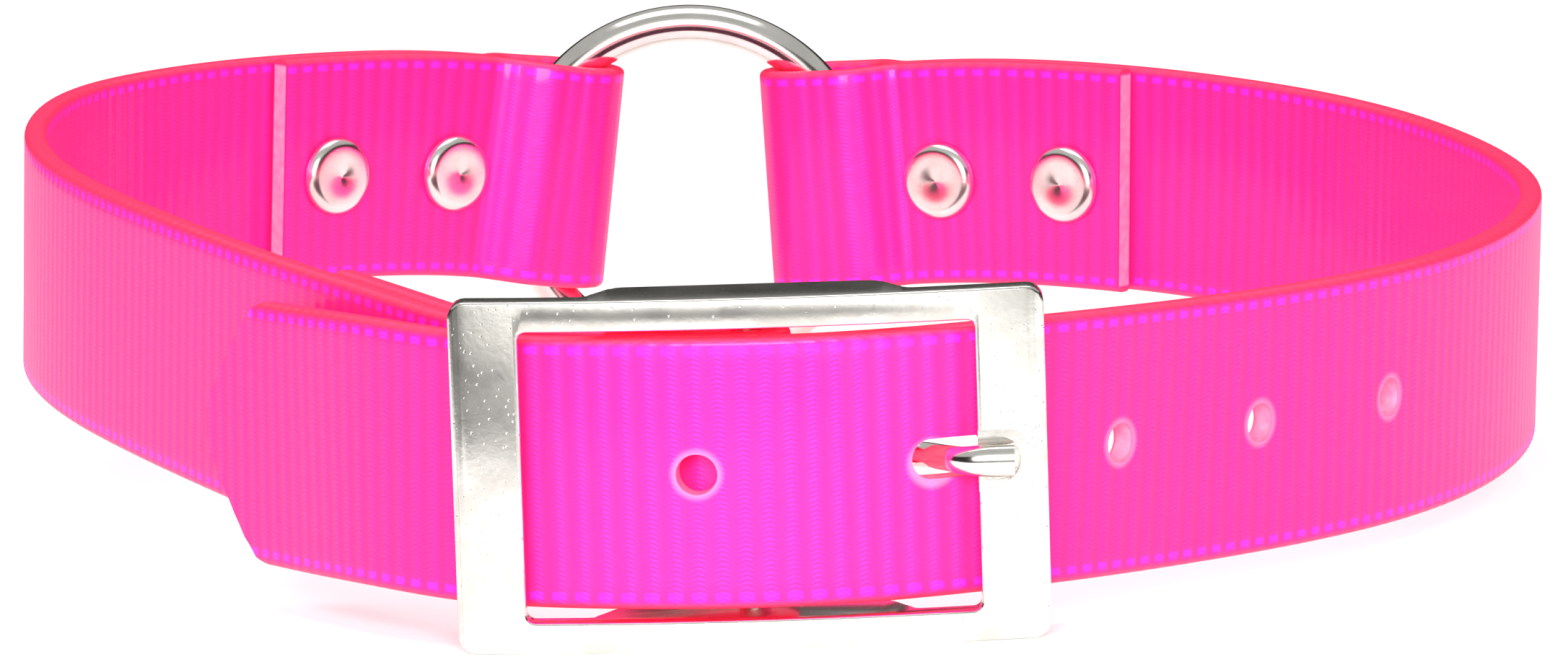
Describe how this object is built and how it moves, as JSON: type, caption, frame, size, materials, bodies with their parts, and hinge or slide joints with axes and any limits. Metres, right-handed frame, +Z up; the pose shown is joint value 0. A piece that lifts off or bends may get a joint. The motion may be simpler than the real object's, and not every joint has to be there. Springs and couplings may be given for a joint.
{
  "type": "dog collar",
  "caption": "Buckled pet collar of glossy coated webbing, with two straps folded and riveted round a centre ring and a heavy cast buckle with a tongue.",
  "frame": {"origin": "middle of the footprint, on the surface that the buckle's lower edge and the ring stand on", "axes": "+Z up, +Y from the buckle towards the ring, +X to the right when facing the buckle's front"},
  "size_m": [0.1602, 0.2268, 0.0432],
  "materials": {
    "webbing": "hot pink coated webbing, glossy",
    "cast_nickel": "nickel plated casting, pitted",
    "ring_nickel": "polished nickel plate",
    "rivet_nickel": "polished nickel plate"
  },
  "bodies": {
    "collar": {"tail_strap": "webbing", "buckle_strap": "webbing", "buckle_frame": "cast_nickel", "tongue": "cast_nickel", "tail_rivet_1": "rivet_nickel", "tail_rivet_2": "rivet_nickel", "ring_rivet_1": "rivet_nickel", "ring_rivet_2": "rivet_nickel", "buckle_rivet_1": "rivet_nickel", "buckle_rivet_2": "rivet_nickel"},
    "ring": {"ring": "ring_nickel"}
  },
  "joints": [
    {"name": "ring_turn", "type": "hinge", "parent": "collar", "child": "ring", "pos_m": [-0.00989, 0.10669, 0.02166], "axis": [0, 0.999, 0.0452], "continuous": true}
  ]
}
